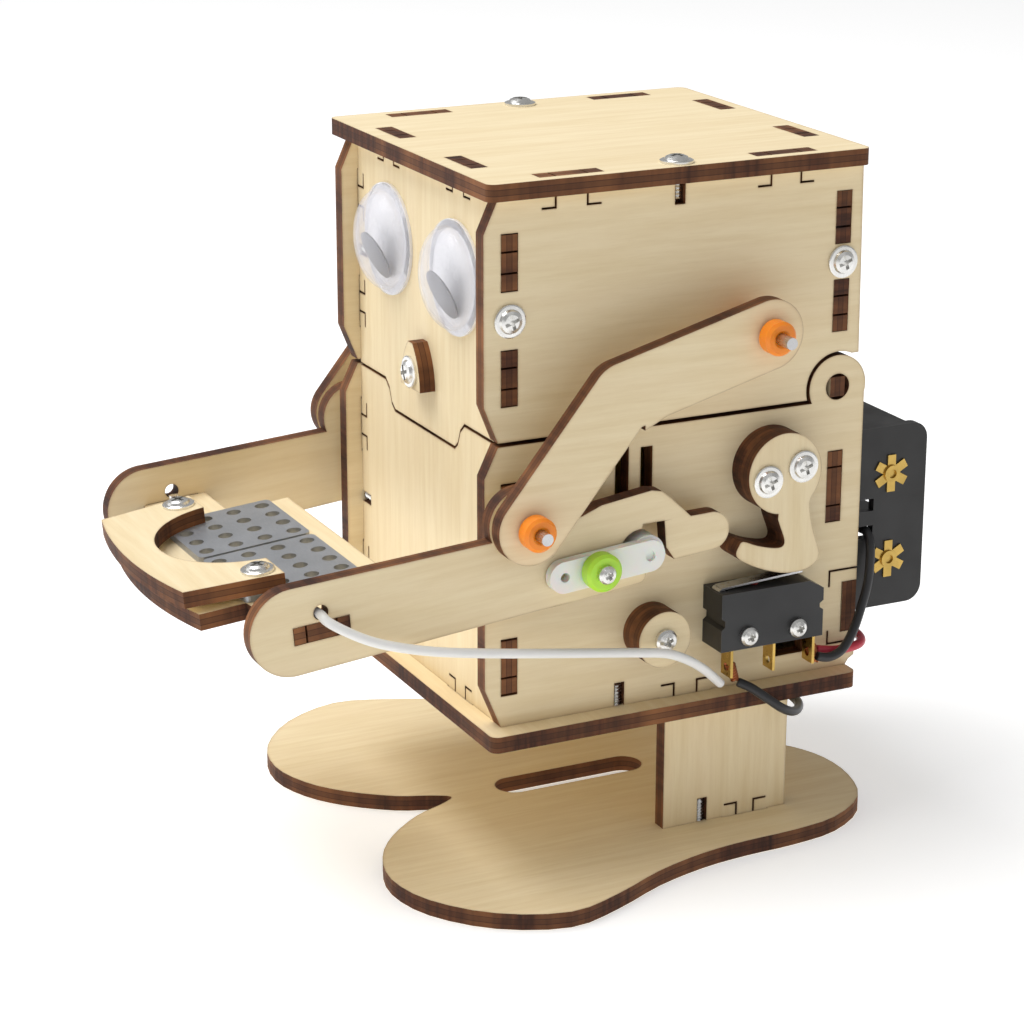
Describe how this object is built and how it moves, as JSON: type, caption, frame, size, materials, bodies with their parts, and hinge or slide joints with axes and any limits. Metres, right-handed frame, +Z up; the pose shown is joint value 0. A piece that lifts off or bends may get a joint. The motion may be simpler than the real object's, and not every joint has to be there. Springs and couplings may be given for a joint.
{
  "type": "plywood desk robot kit",
  "caption": "Laser-cut plywood desk robot: box body on flat feet, hinged head, and motor-driven arms that lift a tray towards the mouth.",
  "frame": {"origin": "on the floor under the feet, midway between the two legs", "axes": "+Z up, -Y the way the face looks, +X the robot's own left, where the switch is"},
  "size_m": [0.1002, 0.1352, 0.1206],
  "materials": {
    "ply_x": "laser-cut plywood, scorched edges",
    "ply_y": "laser-cut plywood, scorched edges",
    "ply_z": "laser-cut plywood, scorched edges",
    "ply_tray": "laser-cut plywood, scorched edges",
    "gearbox_plastic": "moulded",
    "steel": "ground",
    "black_plastic": "moulded, satin",
    "switch_plastic": "moulded, satin",
    "brass": "stamped",
    "plated_screw": "nickel plated",
    "red_plastic": "moulded",
    "copper": "bare twisted strands",
    "black_insulation": "satin",
    "red_insulation": "satin",
    "white_insulation": "satin",
    "eye_white": "glossy",
    "eye_clear": "clear",
    "pupil": "satin",
    "orange_plastic": "moulded",
    "green_plastic": "moulded",
    "contact_plate": "perforated sheet, dull",
    "crank_plastic": "translucent"
  },
  "bodies": {
    "base": {"feet_sheet": "ply_z", "leg_left": "ply_x", "leg_right": "ply_x", "bottom_plate": "ply_z", "body_side_left": "ply_x", "body_side_right": "ply_x", "body_front": "ply_y", "body_back": "ply_y", "back_board": "ply_y", "gearbox": "gearbox_plastic", "motor_can": "steel", "battery_holder": "black_plastic", "battery_contacts": "brass", "contact_springs": "steel", "switch_case": "switch_plastic", "switch_terminals": "brass", "switch_screws": "plated_screw", "hook_inner": "ply_x", "hook_outer": "ply_x", "stop_inner": "ply_x", "stop_outer": "ply_x", "body_screws": "plated_screw", "wire_wraps": "copper", "wire_black": "black_insulation", "wire_battery": "black_insulation", "wire_red": "red_insulation"},
    "head": {"top_plate": "ply_z", "head_side_left": "ply_x", "head_side_right": "ply_x", "face_panel": "ply_y", "head_back": "ply_y", "nose": "ply_y", "eye_rims": "eye_white", "eye_domes": "eye_clear", "head_axle": "steel", "head_bushes": "orange_plastic", "head_screws": "plated_screw"},
    "arms": {"arm_left": "ply_x", "arm_right": "ply_x", "tray_base": "ply_tray", "tray_top": "ply_tray", "contact_plates": "contact_plate", "tray_screws": "plated_screw", "crank_left": "crank_plastic", "crank_right": "crank_plastic", "crank_bushes": "green_plastic", "crank_screws": "plated_screw", "drive_shaft": "steel", "link_pins": "steel", "link_pin_bushes": "orange_plastic", "wire_white": "white_insulation"},
    "link_left": {"link_left": "ply_x"},
    "link_right": {"link_right": "ply_x"},
    "pupil_left": {"pupil_left": "pupil"},
    "pupil_right": {"pupil_right": "pupil"},
    "switch_lever": {"switch_lever": "steel"},
    "switch_plunger": {"switch_plunger": "red_plastic"}
  },
  "joints": [
    {"name": "arms_lift", "type": "hinge", "parent": "base", "child": "arms", "pos_m": [0, -0.0206, 0.0568], "axis": [-1, 0, 0], "range_deg": [0, 45], "deforming": ["wire_white"]},
    {"name": "head_open", "type": "hinge", "parent": "base", "child": "head", "pos_m": [0, 0.019, 0.0786], "axis": [-1, 0, 0], "range_deg": [0, 45]},
    {"name": "link_left_swing", "type": "hinge", "parent": "arms", "child": "link_left", "pos_m": [0.0379, -0.04279, 0.0649], "axis": [-1, 0, 0], "range_deg": [-42, 2]},
    {"name": "link_right_swing", "type": "hinge", "parent": "arms", "child": "link_right", "pos_m": [-0.0379, -0.04279, 0.0649], "axis": [-1, 0, 0], "range_deg": [-42, 2]},
    {"name": "pupil_left_roll", "type": "hinge", "parent": "head", "child": "pupil_left", "pos_m": [0.0132, -0.0463, 0.1004], "axis": [0, -1, 0], "continuous": true},
    {"name": "pupil_right_roll", "type": "hinge", "parent": "head", "child": "pupil_right", "pos_m": [-0.0138, -0.0463, 0.1013], "axis": [0, -1, 0], "continuous": true},
    {"name": "switch_lever_press", "type": "hinge", "parent": "base", "child": "switch_lever", "pos_m": [0.0331, -0.005, 0.0469], "axis": [-1, 0, 0], "range_deg": [0, 2], "stiffness_Nm_per_rad": 0.02, "springref_deg": -1.15},
    {"name": "switch_plunger_press", "type": "slide", "parent": "base", "child": "switch_plunger", "axis": [0, 0, -1], "range_m": [0, 0.0003]}
  ],
  "couplings": [
    {"joint": "head_open", "follows": "arms_lift", "ratio": 0.962},
    {"joint": "link_left_swing", "follows": "arms_lift", "ratio": -0.885},
    {"joint": "link_right_swing", "follows": "arms_lift", "ratio": -0.885},
    {"joint": "switch_plunger_press", "follows": "switch_lever_press", "m_per_rad": 0.0068}
  ]
}
